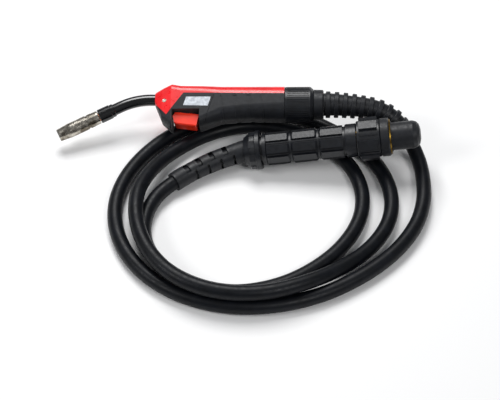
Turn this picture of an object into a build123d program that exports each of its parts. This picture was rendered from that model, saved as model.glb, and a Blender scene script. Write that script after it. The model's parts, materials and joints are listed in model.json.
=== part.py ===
"""Gas-cooled MIG welding torch with its coiled lead and central connector.

Every piece is drawn straight, in one of three local frames, and then set in place:
  front frame      X runs back from the nozzle's mouth, along the bent end of the neck
  handle frame     X runs back along the handle from its front, Z towards the red spine
  connector frame  X runs from the lead's boot towards the machine
The origin is the middle of the torch, and the floor lies 42.3 mm below it. Millimetres throughout.
"""

import os
from math import cos, radians, sin, tan

from build123d import *

os.makedirs("parts", exist_ok=True)

# ---------------------------------------------------------------- where things lie
HANDLE_AT = (-91.85, 4.03, 40.0)
HANDLE_ROLL = -70.07
HANDLE_PITCH = 1.38
HANDLE_YAW = -3.74
CONNECTOR_AT = (16.0, -53.8, 21.4)
CONNECTOR_PITCH = -9.4
CONNECTOR_YAW = -0.7
# the middle of the torch, seen from the spot on the floor that the places above start from
TORCH_MIDDLE = Vector(0.1, -3.8, 42.3)

# ---------------------------------------------------------------- fits
RUNNING = 0.06
SLIDING = 0.3
SEAT = 0.05

# ---------------------------------------------------------------- neck
NECK_TURN = 27.0
NECK_BEND_RADIUS = 80.0
NECK_STRAIGHT = 6.0
NECK_HEIGHT = 7.0
NECK_REACH = 82.5
NECK_TUBE_RADIUS = 5.5
NECK_TUBE_BORE = 4.0
NECK_SLEEVE_RADIUS = 7.0
NECK_DEPTH = 30.0
LINER_RADIUS = 2.3
LINER_BORE = 1.0

# ---------------------------------------------------------------- nozzle end
NOZZLE_LENGTH = 53.0
NOZZLE_RADIUS = 8.8
NOZZLE_MOUTH_RADIUS = 7.4
NOZZLE_MOUTH_BORE = 6.0
NOZZLE_TAPER = 15.0
NOZZLE_WALL = 1.4
NOZZLE_SKIRT = 13.0
NOZZLE_SKIRT_RADIUS = 8.3
TIP_RECESS = 2.5
TIP_LENGTH = 28.0
TIP_RADIUS = 3.0
TIP_THREAD_RADIUS = 2.4
TIP_THREAD = 6.0
WIRE_BORE = 0.6
DIFFUSER_RADIUS = 4.4
DIFFUSER_LENGTH = 26.0
DIFFUSER_HOLE_RADIUS = 0.9
DIFFUSER_HOLES = 4
SPRING_WIRE = 0.6
SPRING_TURNS = 5
INSULATOR_LENGTH = 20.0
INSULATOR_RADIUS = 8.8
INSULATOR_STEP = 5.0

# ---------------------------------------------------------------- handle
WALL = 2.6
HANDLE_LENGTH = 156.0
# station, half width, lowest, highest, corner radius
HANDLE_SECTIONS = [
    (0.0, 8.4, -2.0, 15.0, 7.0),
    (9.0, 13.0, -23.0, 19.0, 8.0),
    (20.0, 15.5, -33.0, 24.0, 9.0),
    (31.0, 16.5, -33.0, 21.5, 9.0),
    (56.0, 17.0, -31.0, 21.2, 10.0),
    (80.0, 17.4, -22.5, 21.0, 13.0),
    (110.0, 17.8, -20.0, 21.0, 14.0),
    (HANDLE_LENGTH, 19.0, -20.5, 21.0, 16.0),
]
CAVITY_FRONT = 3.0
CAVITY_BACK = HANDLE_LENGTH - 3.0
# the red spine and cheeks meet the black grip along this line, front to back
SPINE_LINE = [(-1.0, -1.0), (2.0, -4.0), (15.0, -18.0), (35.0, 9.3), (HANDLE_LENGTH + 1, 7.0)]
SPLIT_GAP = 0.1
SPIGOT_RADIUS = 17.5
SPIGOT_BORE = 14.6
SPIGOT_LENGTH = 30.0
POCKET_FRONT = 21.4
POCKET_BACK = 54.8
POCKET_CEILING = -11.5
CEILING_WALL = 1.8
TRIGGER_HALF_WIDTH = 8.4
TRIGGER_PIN_AT = (28.0, -6.6)
TRIGGER_PIN_RADIUS = 1.5
TRIGGER_LUG_HALF_WIDTH = 5.0
STRIKER_AT = 43.0
STRIKER_HALF_WIDTH = 2.2
RETURN_SPRING_AT = 50.0
RETURN_SPRING_LENGTH = 4.4
RETURN_SPRING_RADIUS = 1.9
RETURN_SPRING_WIRE = 0.3
SWITCH_SIZE = (19.0, 6.4, 6.0)
PLUNGER_RADIUS = 1.3
CHEEK_SCREW_AT = (12.0, 0.5)
CHEEK_SCREW_HEAD = 2.4
CHEEK_SCREW_SHANK = 1.3
LABEL_CORNERS = [(38.6, 3.9), (68.2, 3.9), (65.0, -8.0), (35.2, -7.2)]
LABEL_FLOOR = 16.2
LABEL_THICKNESS = 0.7
GRIP_RECESSES = [(79.0, 1.4), (94.0, 5.0), (111.0, 5.0), (127.0, 1.4)]
RECESS_DEPTH = 0.7
RECESS_BOW = 4.0
RECESS_LOW = -42.0
RECESS_MIDDLE = -12.0
RECESS_HIGH = 5.5
# the line where the flat panel round the identity plate meets the grip
PANEL_EDGE = [(71.2, 6.5), (72.4, 6.5), (62.2, -27.0), (61.0, -27.0)]
BLOCK_RADIUS = 7.4
BLOCK_LENGTH = 32.0

# ---------------------------------------------------------------- handle's rear
COLLAR_LENGTH = 34.0
COLLAR_RADIUS = 21.5
COLLAR_RIBS = 48
RIB_DEPTH = 0.5
BOOT_RING_LENGTH = 12.0
BOOT_RING_RADIUS = 18.0
BOOT_SWING = 33.0
BOOT_RINGS = 10
# length and turn of the two arcs that the boot bends through
BOOT_ARCS = ((56.0, 10.0), (46.0, 46.0))
BOOT_FIRST_RADIUS = 16.2
BOOT_LAST_RADIUS = 12.2
BOOT_GROOVE = 2.6
BOOT_RING_WIDTH = 5.6

# ---------------------------------------------------------------- lead
LEAD_RADIUS = 8.75
LEAD_BORE = LEAD_RADIUS + SLIDING
CONDUCTOR_RADIUS = 5.0

# ---------------------------------------------------------------- connector
NUT_LENGTH = 20.0
NUT_FLANGE_RADIUS = 23.25
NUT_FLANGE = 6.0
BARREL_START = 24.5
BARREL_END = 121.0
BARREL_RADIUS = 17.4
BARREL_BAR_TOP = 19.2
BARREL_BARS = 8
BARREL_BAR_WIDTH = 9.6
BARREL_BORE = 15.3
BARREL_RINGS = (56.0, 89.0)
END_RING_LENGTH = 13.0
END_RING_RADIUS = 19.8
EURO_RADIUS = 15.0
EURO_START = 62.0
EURO_FACE = 170.0
COUPLING_START = 134.5
COUPLING_LENGTH = 27.5
COUPLING_BASE = 22.0
COUPLING_TOP = 25.0
COUPLING_BARS = 6
COUPLING_BAR_WIDTH = 11.5
COUPLING_BORE = 16.6
COUPLING_WALL = 4.5
GAS_PIN_RADIUS = 5.0
GAS_PIN_END = 186.0
CONTACT_PIN_OFFSET = 9.8
CONTACT_PIN_RADIUS = 2.0
CONTACT_PIN_END = 180.0
CONTACT_STROKE = 3.0
CAP_START = COUPLING_START + COUPLING_LENGTH + SLIDING
CAP_FLANGE_LENGTH = 10.6
CAP_FLANGE_RADIUS = 22.5
CAP_RADIUS = 16.5
CAP_END = 209.0
CAP_BORE = EURO_RADIUS - 0.2
CAP_PLUG = 12.0
PLUG_BOOT_ARCS = ((12.0, 14.0), (88.0, 27.0))
PLUG_BOOT_SWING = 96.0
PLUG_BOOT_ROOT = 6.0
PLUG_BOOT_ROOT_RADIUS = 14.2
PLUG_BOOT_NECK_RADIUS = 12.6
PLUG_BOOT_TIP_RADIUS = 11.0
PLUG_COLLAR_RADIUS = 11.6
PLUG_COLLAR_LENGTH = 16.0
BOOT_NOTCHES = 4
BOOT_NOTCH_SPACING = 0.17
BOOT_NOTCH_ACROSS = 15.5
BOOT_NOTCH_WIDTH = 6.2
BOOT_SLOT_WIDTH = 3.0


# ================================================================ helpers
def outline(*points):
    """A closed face with straight sides through (x, y) points."""
    with BuildSketch() as shape:
        with BuildLine():
            Polyline(*points, close=True)
        make_face()
    return shape.sketch


def side_outline(*points):
    """The same in the handle's side view, through (x, z) points."""
    with BuildSketch(Plane.XZ) as shape:
        with BuildLine():
            Polyline(*points, close=True)
        make_face()
    return shape.sketch


def ring_outline(start, end, inner, outer):
    """The half section of a plain ring about X."""
    return outline((start, inner), (end, inner), (end, outer), (start, outer))


def coil_spring(start, pitch, length, radius, wire):
    """A round-wire spring coiled about X."""
    with BuildPart() as spring:
        with BuildLine() as coil:
            Helix(pitch, length, radius, center=(start, 0, 0), direction=(1, 0, 0))
        with BuildSketch(Plane(origin=coil.line @ 0, z_dir=coil.line % 0)):
            Circle(wire)
        sweep(path=coil.line)
    return spring.part


def save(piece, label, place):
    """Label a finished piece, set it in its place about the torch's middle and write its file."""
    placed = piece.part.moved(Location(-TORCH_MIDDLE) * place)
    placed.label = label
    export_step(placed, f"parts/{label}.step")


HANDLE = Location(HANDLE_AT, (HANDLE_ROLL, HANDLE_PITCH, HANDLE_YAW))
CONNECTOR = Location(CONNECTOR_AT, (0, CONNECTOR_PITCH, CONNECTOR_YAW))
turn = radians(NECK_TURN)
tip_x = -NECK_STRAIGHT - NECK_BEND_RADIUS * sin(turn) - NECK_REACH * cos(turn)
tip_z = NECK_HEIGHT - NECK_BEND_RADIUS * (1 - cos(turn)) - NECK_REACH * sin(turn)
FRONT = HANDLE * Location((tip_x, 0, tip_z), (0, -NECK_TURN, 0))


# ================================================================ nozzle end, front frame
bore_back = NOZZLE_RADIUS - NOZZLE_WALL
skirt_start = NOZZLE_LENGTH - NOZZLE_SKIRT
skirt_bore = NOZZLE_SKIRT_RADIUS - NOZZLE_WALL
with BuildPart() as gas_nozzle:
    revolve(
        outline(
            (0, NOZZLE_MOUTH_BORE),
            (0, NOZZLE_MOUTH_RADIUS),
            (NOZZLE_TAPER, NOZZLE_RADIUS),
            (skirt_start - 2.5, NOZZLE_RADIUS),
            (skirt_start - 2.0, NOZZLE_SKIRT_RADIUS - 0.4),
            (skirt_start, NOZZLE_SKIRT_RADIUS - 0.4),
            (skirt_start, NOZZLE_SKIRT_RADIUS + 0.3),
            (skirt_start + 5.0, NOZZLE_SKIRT_RADIUS + 0.3),
            (skirt_start + 5.6, NOZZLE_SKIRT_RADIUS),
            (NOZZLE_LENGTH, NOZZLE_SKIRT_RADIUS),
            (NOZZLE_LENGTH, skirt_bore),
            (skirt_start - 6.0, skirt_bore),
            (NOZZLE_TAPER, skirt_bore - 0.3),
        ),
        axis=Axis.X,
    )

tip_back = TIP_RECESS + TIP_LENGTH
with BuildPart() as contact_tip:
    revolve(
        outline(
            (TIP_RECESS, WIRE_BORE),
            (TIP_RECESS, TIP_RADIUS - 0.8),
            (TIP_RECESS + 1.2, TIP_RADIUS),
            (tip_back - TIP_THREAD, TIP_RADIUS),
            (tip_back - TIP_THREAD, TIP_THREAD_RADIUS),
            (tip_back, TIP_THREAD_RADIUS),
            (tip_back, WIRE_BORE),
        ),
        axis=Axis.X,
    )
    with BuildSketch(Plane.YZ.offset(tip_back - TIP_THREAD - 5)):
        with Locations((0, TIP_RADIUS + 0.9), (0, -TIP_RADIUS - 0.9)):
            Rectangle(4 * TIP_RADIUS, 3)
    extrude(amount=3.5, mode=Mode.SUBTRACT)

diffuser_start = tip_back - TIP_THREAD + SEAT
diffuser_end = diffuser_start + DIFFUSER_LENGTH
with BuildPart() as gas_diffuser:
    revolve(
        outline(
            (diffuser_start, TIP_THREAD_RADIUS + SEAT),
            (diffuser_start, DIFFUSER_RADIUS),
            (diffuser_end, DIFFUSER_RADIUS),
            (diffuser_end, LINER_RADIUS + SEAT),
            (tip_back + 3, LINER_RADIUS + SEAT),
            (tip_back + 3, TIP_THREAD_RADIUS + SEAT),
        ),
        axis=Axis.X,
    )
    with Locations(Plane.YZ.offset(tip_back + 1.8)):
        with PolarLocations(0, DIFFUSER_HOLES, start_angle=45):
            Cylinder(DIFFUSER_HOLE_RADIUS, 3 * DIFFUSER_RADIUS, rotation=(0, 90, 0), mode=Mode.SUBTRACT)

# the spring that grips the nozzle: coiled on the diffuser, its turns just inside the nozzle's skirt
spring_radius = skirt_bore - SLIDING - SPRING_WIRE
spring_pitch = 1.9
with BuildPart() as nozzle_spring:
    spring_length = spring_pitch * SPRING_TURNS
    add(coil_spring(diffuser_start + 8, spring_pitch, spring_length, spring_radius, SPRING_WIRE))

with BuildPart() as spring_seat:
    revolve(
        ring_outline(
            diffuser_start + 8 - 3 * SPRING_WIRE,
            diffuser_start + 8 + spring_pitch * SPRING_TURNS + 2 * SPRING_WIRE,
            DIFFUSER_RADIUS + SEAT,
            spring_radius - SPRING_WIRE - SEAT,
        ),
        axis=Axis.X,
    )

insulator_start = NOZZLE_LENGTH + 0.8
insulator_end = insulator_start + INSULATOR_LENGTH
with BuildPart() as neck_insulator:
    revolve(
        outline(
            (insulator_start, NECK_TUBE_RADIUS + SEAT),
            (insulator_start, INSULATOR_RADIUS - 0.6),
            (insulator_start + 0.6, INSULATOR_RADIUS),
            (insulator_end - INSULATOR_STEP, INSULATOR_RADIUS),
            (insulator_end - INSULATOR_STEP + 0.6, INSULATOR_RADIUS - 0.7),
            (insulator_end - 0.6, INSULATOR_RADIUS - 0.7),
            (insulator_end, INSULATOR_RADIUS - 1.3),
            (insulator_end, NECK_TUBE_RADIUS + SEAT),
        ),
        axis=Axis.X,
    )

# ================================================================ neck, handle frame
bend_end = (-NECK_STRAIGHT - NECK_BEND_RADIUS * sin(turn), NECK_HEIGHT - NECK_BEND_RADIUS * (1 - cos(turn)))


def neck_path(back, station):
    """The neck's centre line, from x = back in the handle to a station of the front frame."""
    with BuildLine(Plane.XZ) as path:
        Line((back, NECK_HEIGHT), (-NECK_STRAIGHT, NECK_HEIGHT))
        JernArc((-NECK_STRAIGHT, NECK_HEIGHT), (-1, 0), NECK_BEND_RADIUS, NECK_TURN)
        Line(bend_end, (tip_x + station * cos(turn), tip_z + station * sin(turn)))
    return path.wire()


def neck_section(back, outer, inner):
    """A ring drawn across the neck at x = back."""
    with BuildSketch(Plane(origin=(back, 0, NECK_HEIGHT), z_dir=(-1, 0, 0))) as ring:
        Circle(outer)
        Circle(inner, mode=Mode.SUBTRACT)
    return ring.sketch


with BuildPart() as neck_tube:
    tube_section = neck_section(NECK_DEPTH, NECK_TUBE_RADIUS, NECK_TUBE_BORE)
    sweep(tube_section, path=neck_path(NECK_DEPTH, diffuser_end))

sleeve_back = NECK_DEPTH - 6
with BuildPart() as neck_sleeve:
    sweep(
        neck_section(sleeve_back, NECK_SLEEVE_RADIUS, NECK_TUBE_RADIUS + SEAT),
        path=neck_path(sleeve_back, insulator_end + SEAT),
    )

liner_back = NECK_DEPTH + BLOCK_LENGTH - 4
with BuildPart() as wire_liner:
    sweep(neck_section(liner_back, LINER_RADIUS, LINER_BORE), path=neck_path(liner_back, tip_back + 3.2))


# ================================================================ handle shells, handle frame
def handle_envelope(inset, front, back):
    """The handle's outer form, or its cavity when inset by the wall."""
    with BuildPart() as form:
        for station, half, low, high, corner in HANDLE_SECTIONS:
            middle = (station, 0, (low + high) / 2)
            with BuildSketch(Plane(origin=middle, x_dir=(0, 1, 0), z_dir=(1, 0, 0))):
                RectangleRounded(2 * (half - inset), high - low - 2 * inset, corner - inset)
        loft(ruled=True)
        for start, end in ((-50, front), (back, HANDLE_LENGTH + 50)):
            with BuildSketch(Plane.YZ.offset(start)):
                Rectangle(200, 200)
            extrude(amount=end - start, mode=Mode.SUBTRACT)
    return form.part


pocket = side_outline(
    (POCKET_FRONT, -60), (POCKET_FRONT, POCKET_CEILING), (POCKET_BACK, POCKET_CEILING), (POCKET_BACK, -60)
)
pocket_shell = side_outline(
    (POCKET_FRONT - CEILING_WALL, -60),
    (POCKET_FRONT - CEILING_WALL, POCKET_CEILING + CEILING_WALL),
    (POCKET_BACK + CEILING_WALL, POCKET_CEILING + CEILING_WALL),
    (POCKET_BACK + CEILING_WALL, -60),
)
spine_back = HANDLE_LENGTH - SPLIT_GAP
spine_region = side_outline(
    *[(x, z + SPLIT_GAP) for x, z in SPINE_LINE[:-1]],
    (spine_back, SPINE_LINE[-1][1] + SPLIT_GAP),
    (spine_back, 60),
    (-1, 60),
)
grip_region = side_outline(*[(x, z) for x, z in SPINE_LINE], (HANDLE_LENGTH + 1, -60), (-1, -60))

def label_outline(inset):
    """The identity plate's outline, or a little less of it."""
    with BuildSketch() as plate:
        with BuildLine():
            Polyline(*LABEL_CORNERS, close=True)
        make_face()
        if inset:
            offset(amount=-inset, kind=Kind.INTERSECTION, mode=Mode.REPLACE)
    return plate.sketch


# bowed recesses across the grip, each from its start along the handle and as wide as given
with BuildPart() as grip_recesses:
    for start, width in GRIP_RECESSES:
        with BuildSketch(Plane.XZ):
            with BuildLine():
                front = ThreePointArc(
                    (start, RECESS_LOW), (start + RECESS_BOW, RECESS_MIDDLE), (start, RECESS_HIGH)
                )
                top = Line(front @ 1, (start + width, RECESS_HIGH))
                back = ThreePointArc(
                    top @ 1, (start + width + RECESS_BOW, RECESS_MIDDLE), (start + width, RECESS_LOW)
                )
                Line(back @ 1, front @ 0)
            make_face()
        extrude(amount=40, both=True)
    panel_edge = side_outline(*PANEL_EDGE)
    extrude(panel_edge, amount=40, both=True)
    add(handle_envelope(RECESS_DEPTH, -10, HANDLE_LENGTH + 10), mode=Mode.SUBTRACT)

outer_form = handle_envelope(0, -10, HANDLE_LENGTH + 10)
inner_form = handle_envelope(WALL, CAVITY_FRONT, CAVITY_BACK)

with BuildPart() as cavity:
    add(inner_form)
    extrude(pocket_shell, amount=40, both=True, mode=Mode.SUBTRACT)

with BuildPart() as hollow_body:
    add(outer_form)
    add(cavity.part, mode=Mode.SUBTRACT)
    extrude(pocket, amount=40, both=True, mode=Mode.SUBTRACT)
    add(grip_recesses.part, mode=Mode.SUBTRACT)
    # the neck's way in and the lead's way out
    with Locations(Plane(origin=(-5, 0, NECK_HEIGHT), z_dir=(1, 0, 0))):
        Cylinder(
            NECK_SLEEVE_RADIUS + SEAT, 20, align=(Align.CENTER, Align.CENTER, Align.MIN), mode=Mode.SUBTRACT
        )
    with Locations(Plane.YZ.offset(CAVITY_BACK - 5)):
        Cylinder(SPIGOT_BORE, 20, align=(Align.CENTER, Align.CENTER, Align.MIN), mode=Mode.SUBTRACT)
    # shallow beds for the identity plates
    for side in (-1, 1):
        with BuildSketch(Plane.XZ.offset(side * LABEL_FLOOR)):
            add(label_outline(0))
        extrude(amount=side * 5, mode=Mode.SUBTRACT)
    # countersinks for the cheek screws
    for side in (-1, 1):
        screw_at = (CHEEK_SCREW_AT[0], side * 20, CHEEK_SCREW_AT[1])
        with Locations(Plane(origin=screw_at, z_dir=(0, -side, 0))):
            Cylinder(
                CHEEK_SCREW_SHANK + SEAT, 14,
                align=(Align.CENTER, Align.CENTER, Align.MIN), mode=Mode.SUBTRACT,
            )
            Cylinder(
                CHEEK_SCREW_HEAD + SEAT, 8,
                align=(Align.CENTER, Align.CENTER, Align.MIN), mode=Mode.SUBTRACT,
            )

sides = {"left": -1, "right": 1}
for side_name, side in sides.items():
    with BuildPart() as spine:
        add(hollow_body.part)
        extrude(spine_region, amount=40, both=True, mode=Mode.INTERSECT)
        with Locations((HANDLE_LENGTH / 2, -side * 40, 0)):
            Box(2 * HANDLE_LENGTH, 80, 200, mode=Mode.SUBTRACT)
    save(spine, f"spine_{side_name}", HANDLE)

    with BuildPart() as grip:
        add(hollow_body.part)
        extrude(grip_region, amount=40, both=True, mode=Mode.INTERSECT)
        revolve(
            ring_outline(HANDLE_LENGTH, HANDLE_LENGTH + SPIGOT_LENGTH, SPIGOT_BORE, SPIGOT_RADIUS),
            axis=Axis.X,
        )
        # slots in the pocket's ceiling for the trigger's lug and striker, and the pin's holes
        with Locations((TRIGGER_PIN_AT[0], 0, POCKET_CEILING)):
            Box(10, 2 * TRIGGER_LUG_HALF_WIDTH + 2 * SLIDING, 8, mode=Mode.SUBTRACT)
        with Locations((STRIKER_AT, 0, POCKET_CEILING)):
            Box(7, 2 * STRIKER_HALF_WIDTH + 1.2, 8, mode=Mode.SUBTRACT)
        with Locations((HANDLE_LENGTH / 2, -side * 40, 0)):
            Box(2 * HANDLE_LENGTH, 80, 200, mode=Mode.SUBTRACT)
    save(grip, f"grip_{side_name}", HANDLE)

# ================================================================ trigger and switch, handle frame
pin_x, pin_z = TRIGGER_PIN_AT
spring_foot = POCKET_CEILING - RETURN_SPRING_LENGTH - 2 * RETURN_SPRING_WIRE - 2 * SEAT
with BuildPart() as trigger:
    finger_bar = side_outline(
        (POCKET_FRONT + 0.9, -17.5), (25.0, -12.6), (POCKET_BACK - 1.2, -15.8), (51.0, -30.5), (24.6, -27.0)
    )
    extrude(finger_bar, amount=TRIGGER_HALF_WIDTH, both=True)
    chamfer(trigger.faces().sort_by(Axis.Z)[0].edges(), 1.2)
    lug = side_outline((24.6, -13.6), (25.4, pin_z + 2.6), (30.6, pin_z + 2.6), (31.4, -14.2))
    extrude(lug, amount=TRIGGER_LUG_HALF_WIDTH, both=True)
    striker = side_outline(
        (STRIKER_AT - 2, -16), (STRIKER_AT - 2, -11.6), (STRIKER_AT + 2, -11.6), (STRIKER_AT + 2, -16)
    )
    extrude(striker, amount=STRIKER_HALF_WIDTH, both=True)
    with Locations(Plane(origin=(pin_x, 20, pin_z), z_dir=(0, -1, 0))):
        Cylinder(TRIGGER_PIN_RADIUS + RUNNING, 60, mode=Mode.SUBTRACT)
    with Locations((RETURN_SPRING_AT, 0, spring_foot)):
        Cylinder(
            RETURN_SPRING_RADIUS + 2 * RETURN_SPRING_WIRE,
            10,
            align=(Align.CENTER, Align.CENTER, Align.MIN),
            mode=Mode.SUBTRACT,
        )
save(trigger, "trigger", HANDLE)

pin_half = 8.0
with BuildPart() as trigger_pin:
    with Locations(Plane(origin=(pin_x, 0, pin_z), z_dir=(0, -1, 0))):
        Cylinder(TRIGGER_PIN_RADIUS, 2 * pin_half)
save(trigger_pin, "trigger_pin", HANDLE)

# two ears stand on the pocket's ceiling and hold the pin, and the switch's cradle lies behind them
ceiling_top = POCKET_CEILING + CEILING_WALL
with BuildPart() as pin_ears:
    for side in (-1, 1):
        with Locations((pin_x, side * (TRIGGER_LUG_HALF_WIDTH + SLIDING + 1.2), ceiling_top + SEAT)):
            Box(7, 2.4, pin_z + 3.2 - ceiling_top, align=(Align.CENTER, Align.CENTER, Align.MIN))
    with Locations(Plane(origin=(pin_x, 0, pin_z), z_dir=(0, -1, 0))):
        Cylinder(TRIGGER_PIN_RADIUS + SEAT, 60, mode=Mode.SUBTRACT)
save(pin_ears, "pin_ears", HANDLE)

switch_length, switch_width, switch_height = SWITCH_SIZE
switch_base = ceiling_top + SEAT
with BuildPart() as switch_body:
    with Locations((STRIKER_AT + 1.5, 0, switch_base)):
        Box(switch_length, switch_width, switch_height, align=(Align.CENTER, Align.CENTER, Align.MIN))
    chamfer(switch_body.edges().filter_by(Axis.Z), 0.6)
    with Locations((STRIKER_AT, 0, switch_base)):
        Cylinder(
            PLUNGER_RADIUS + RUNNING,
            3.6,
            align=(Align.CENTER, Align.CENTER, Align.MIN),
            mode=Mode.SUBTRACT,
        )
save(switch_body, "switch_body", HANDLE)

with BuildPart() as switch_plunger:
    with Locations((STRIKER_AT, 0, -11.6 + 0.12)):
        Cylinder(PLUNGER_RADIUS, 3.6, align=(Align.CENTER, Align.CENTER, Align.MIN))
    fillet(switch_plunger.faces().sort_by(Axis.Z)[0].edges(), 0.4)
save(switch_plunger, "switch_plunger", HANDLE)

with BuildPart() as switch_leads:
    for side in (-1, 1):
        start = (STRIKER_AT + 1.9 + switch_length / 2, side * 1.8, switch_base + 3)
        with BuildLine() as lead_path:
            FilletPolyline(
                start, (66, side * 2.2, -6.0), (80, side * 3.2, -10.5), (96, side * 4.5, -11.5), radius=8
            )
        with BuildSketch(Plane(origin=start, z_dir=lead_path.line % 0)):
            Circle(0.9)
        sweep(path=lead_path.line)
save(switch_leads, "switch_leads", HANDLE)

# the return spring stands in a blind hole in the trigger and pushes against the ceiling
with BuildPart() as trigger_spring:
    add(coil_spring(0, 1.1, RETURN_SPRING_LENGTH, RETURN_SPRING_RADIUS, RETURN_SPRING_WIRE))
save(
    trigger_spring,
    "trigger_spring",
    HANDLE * Location((RETURN_SPRING_AT, 0, spring_foot + RETURN_SPRING_WIRE + SEAT), (0, -90, 0)),
)

# ================================================================ inside the handle, handle frame
with BuildPart() as neck_clamp:
    with BuildSketch(Plane.YZ.offset(CHEEK_SCREW_AT[0] - 3)):
        with Locations((0, 2.5)):
            Rectangle(19.6, 17)
        with Locations((0, NECK_HEIGHT)):
            Circle(8.3)
    extrude(amount=10)
    with Locations(Plane(origin=(0, 0, NECK_HEIGHT), z_dir=(1, 0, 0))):
        Cylinder(NECK_SLEEVE_RADIUS + SEAT, 100, mode=Mode.SUBTRACT)
    for side in (-1, 1):
        screw_at = (CHEEK_SCREW_AT[0], side * 20, CHEEK_SCREW_AT[1])
        with Locations(Plane(origin=screw_at, z_dir=(0, -side, 0))):
            Cylinder(
                CHEEK_SCREW_SHANK + SEAT, 12.2,
                align=(Align.CENTER, Align.CENTER, Align.MIN), mode=Mode.SUBTRACT,
            )
save(neck_clamp, "neck_clamp", HANDLE)

with BuildPart() as cheek_screws:
    for side in (-1, 1):
        screw_at = (CHEEK_SCREW_AT[0], side * 13.2, CHEEK_SCREW_AT[1])
        with Locations(Plane(origin=screw_at, z_dir=(0, -side, 0))):
            Cylinder(CHEEK_SCREW_HEAD, 1.15, align=(Align.CENTER, Align.CENTER, Align.MIN))
            Cylinder(CHEEK_SCREW_SHANK, 5.2, align=(Align.CENTER, Align.CENTER, Align.MIN))
            Box(3.4, 0.7, 1.0, mode=Mode.SUBTRACT)
            Box(0.7, 3.4, 1.0, mode=Mode.SUBTRACT)
save(cheek_screws, "cheek_screws", HANDLE)

block_start = NECK_DEPTH + SEAT
block_end = NECK_DEPTH + BLOCK_LENGTH
with BuildPart() as power_block:
    with Locations(Plane(origin=(block_start - 6, 0, NECK_HEIGHT), z_dir=(1, 0, 0))):
        Cylinder(BLOCK_RADIUS, BLOCK_LENGTH + 6, align=(Align.CENTER, Align.CENTER, Align.MIN))
        Cylinder(
            NECK_TUBE_RADIUS + SEAT, 6, align=(Align.CENTER, Align.CENTER, Align.MIN), mode=Mode.SUBTRACT
        )
        Cylinder(
            LINER_RADIUS + SEAT,
            BLOCK_LENGTH + 2.2,
            align=(Align.CENTER, Align.CENTER, Align.MIN),
            mode=Mode.SUBTRACT,
        )
save(power_block, "power_block", HANDLE)

lead_in_handle = 98.0
block_back = block_start + BLOCK_LENGTH
with BuildPart() as handle_conductor:
    with BuildLine(Plane.XZ) as bare_path:
        FilletPolyline(
            (block_back, NECK_HEIGHT), (block_back + 11, NECK_HEIGHT),
            (lead_in_handle - 11, 0), (lead_in_handle, 0),
            radius=14,
        )
    with BuildSketch(Plane(origin=(block_back, 0, NECK_HEIGHT), z_dir=(1, 0, 0))):
        Circle(CONDUCTOR_RADIUS)
    sweep(path=bare_path.line)
save(handle_conductor, "handle_conductor", HANDLE)

with BuildPart() as handle_ferrule:
    revolve(ring_outline(lead_in_handle + 0.5, lead_in_handle + 14, LEAD_RADIUS + SEAT, 10.4), axis=Axis.X)
save(handle_ferrule, "handle_ferrule", HANDLE)

# blank identity plates, one let into each side of the grip's flat panel
with BuildPart() as label_plates:
    for side in (-1, 1):
        with BuildSketch(Plane.XZ.offset(-side * (LABEL_FLOOR + SEAT + LABEL_THICKNESS / 2))) as plate:
            add(label_outline(SEAT))
        extrude(amount=LABEL_THICKNESS / 2, both=True)
save(label_plates, "label_plates", HANDLE)

# ================================================================ handle's rear, handle frame
collar_start = HANDLE_LENGTH + 0.4
collar_end = collar_start + COLLAR_LENGTH
with BuildPart() as rear_collar:
    revolve(
        outline(
            (collar_start, SPIGOT_RADIUS + SEAT),
            (collar_start, COLLAR_RADIUS - 0.8),
            (collar_start + 0.8, COLLAR_RADIUS),
            (collar_end - 3.5, COLLAR_RADIUS),
            (collar_end, COLLAR_RADIUS - 3.2),
            (collar_end, LEAD_RADIUS + 3.4),
            (collar_end - 3.4, LEAD_RADIUS + 3.4),
            (collar_end - 3.4, SPIGOT_RADIUS + SEAT),
        ),
        axis=Axis.X,
    )
    with Locations(Plane.YZ.offset(collar_start + 3)):
        with PolarLocations(COLLAR_RADIUS, COLLAR_RIBS):
            Box(
                2 * RIB_DEPTH, 0.9, COLLAR_LENGTH - 8,
                align=(Align.CENTER, Align.CENTER, Align.MIN), mode=Mode.SUBTRACT,
            )
save(rear_collar, "rear_collar", HANDLE)

boot_start = collar_end + SLIDING
boot_front = boot_start + BOOT_RING_LENGTH
REAR = HANDLE * Location((boot_front, 0, 0), (BOOT_SWING, 0, 0))


def two_arc_path(straight, arcs):
    """A straight run and then two tangent arcs, from the origin along X and down in Z."""
    with BuildLine(Plane.XZ) as path:
        run = Line((-straight, 0), (0, 0))
        for length, angle in arcs:
            run = JernArc(run @ 1, run % 1, length / radians(angle), -angle)
    return path.wire()


boot_path = two_arc_path(0.01, BOOT_ARCS)
with BuildPart() as boot_ring:
    revolve(
        outline(
            (-BOOT_RING_LENGTH, LEAD_BORE),
            (-BOOT_RING_LENGTH, BOOT_RING_RADIUS - 0.6),
            (-BOOT_RING_LENGTH + 0.6, BOOT_RING_RADIUS),
            (-1.4, BOOT_RING_RADIUS - 0.2),
            (-0.2, BOOT_RING_RADIUS - 1.4),
            (-0.2, LEAD_BORE),
        ),
        axis=Axis.X,
    )
save(boot_ring, "boot_ring", REAR)


def boot_radius(share):
    """The corrugated boot's outer radius, from its root (0) to its tip (1)."""
    return BOOT_FIRST_RADIUS + share * (BOOT_LAST_RADIUS - BOOT_FIRST_RADIUS)


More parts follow.
